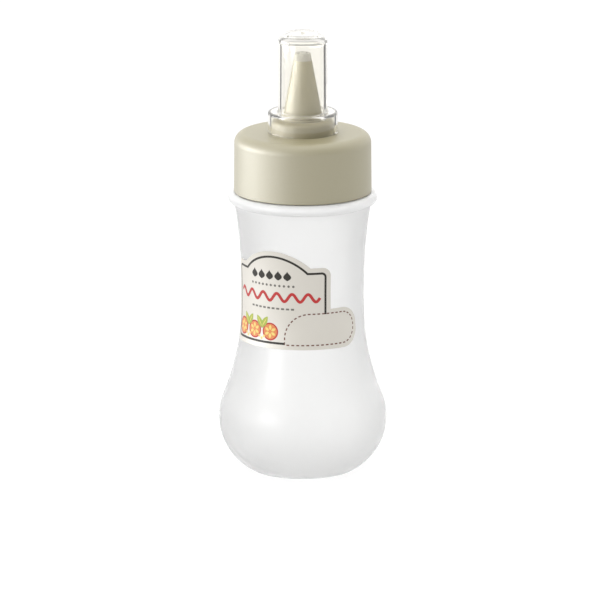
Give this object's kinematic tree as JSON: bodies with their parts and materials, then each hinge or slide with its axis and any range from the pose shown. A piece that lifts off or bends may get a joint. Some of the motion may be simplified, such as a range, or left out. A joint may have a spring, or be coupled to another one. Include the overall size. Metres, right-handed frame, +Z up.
{
  "type": "condiment squeeze bottle",
  "caption": "Waisted translucent squeeze bottle for sauces, with a screw cap, a tapered multi-hole nozzle under a clear pull-off cover, and a wrapped blank label.",
  "frame": {"origin": "on the bottle's axis at the plane of its standing ring", "axes": "+Z up along the axis of bottle, cap and nozzle; -Y is the front, where the label's main panel and its lower lobe meet; +X is the viewer's right"},
  "size_m": [0.073, 0.073, 0.195],
  "materials": {
    "frosted_plastic": "satin",
    "label_paper": "matte",
    "seal_rubber": "matte",
    "cap_plastic": "satin",
    "tip_plastic": "satin",
    "clear_plastic": "gloss"
  },
  "bodies": {
    "bottle": {"bottle_body": "frosted_plastic", "label_sticker": "label_paper"},
    "seal": {"sealing_gasket": "seal_rubber"},
    "cap": {"screw_cap": "cap_plastic", "nozzle_tip": "tip_plastic"},
    "cover": {"dust_cover": "clear_plastic"}
  },
  "joints": [
    {"name": "cap_lift", "type": "slide", "parent": "bottle", "child": "seal", "axis": [0, 0, 1], "range_m": [0, 0.006]},
    {"name": "cap_turn", "type": "hinge", "parent": "seal", "child": "cap", "pos_m": [0, 0, 0.1455], "axis": [0, 0, 1], "range_deg": [0, 540]},
    {"name": "cover_pull", "type": "slide", "parent": "cap", "child": "cover", "axis": [0, 0, 1], "range_m": [0, 0.045]}
  ],
  "couplings": [
    {"joint": "cap_lift", "follows": "cap_turn", "m_per_rad": 0.00063661}
  ]
}
